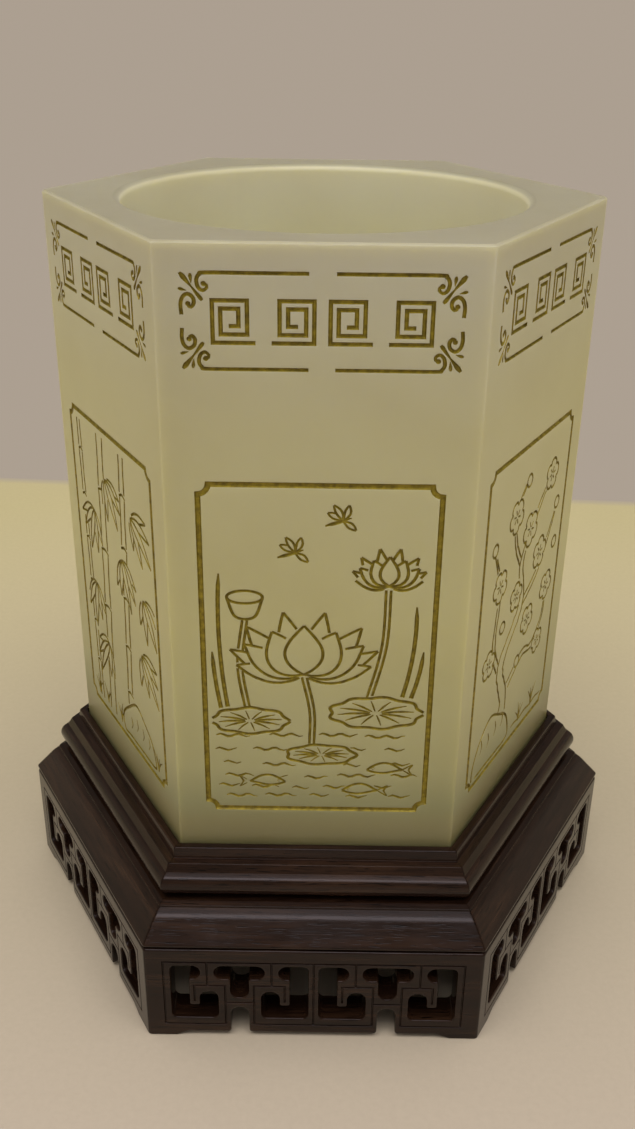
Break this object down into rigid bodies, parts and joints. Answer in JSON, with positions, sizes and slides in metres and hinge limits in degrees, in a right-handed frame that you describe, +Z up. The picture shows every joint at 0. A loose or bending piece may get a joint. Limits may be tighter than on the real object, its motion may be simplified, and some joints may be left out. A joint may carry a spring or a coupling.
{
  "type": "brush pot",
  "caption": "Hexagonal jade brush pot with a round blind bore, standing in the recess of a mitred hardwood stand with pierced fretwork aprons and feet at the corners.",
  "frame": {"origin": "on the table, under the middle of the stand", "axes": "+Z up along the axis of the bore; the front of the object faces -Y; +X to its right"},
  "size_m": [0.13, 0.1128, 0.1532],
  "materials": {
    "jade": "polished, translucent",
    "rosewood": "satin lacquer"
  },
  "bodies": {
    "stand": {"apron_front": "rosewood", "apron_front_right": "rosewood", "apron_back_right": "rosewood", "apron_back": "rosewood", "apron_back_left": "rosewood", "apron_front_left": "rosewood", "lower_moulding_front": "rosewood", "lower_moulding_front_right": "rosewood", "lower_moulding_back_right": "rosewood", "lower_moulding_back": "rosewood", "lower_moulding_back_left": "rosewood", "lower_moulding_front_left": "rosewood", "top_rail_front": "rosewood", "top_rail_front_right": "rosewood", "top_rail_back_right": "rosewood", "top_rail_back": "rosewood", "top_rail_back_left": "rosewood", "top_rail_front_left": "rosewood", "corner_block_front_right": "rosewood", "corner_block_right": "rosewood", "corner_block_back_right": "rosewood", "corner_block_back_left": "rosewood", "corner_block_left": "rosewood", "corner_block_front_left": "rosewood", "seat_board": "rosewood"},
    "pot": {"jade_pot": "jade"}
  },
  "joints": [
    {"name": "pot_lift", "type": "slide", "parent": "stand", "child": "pot", "axis": [0, 0, 1], "range_m": [0, 0.05]}
  ]
}
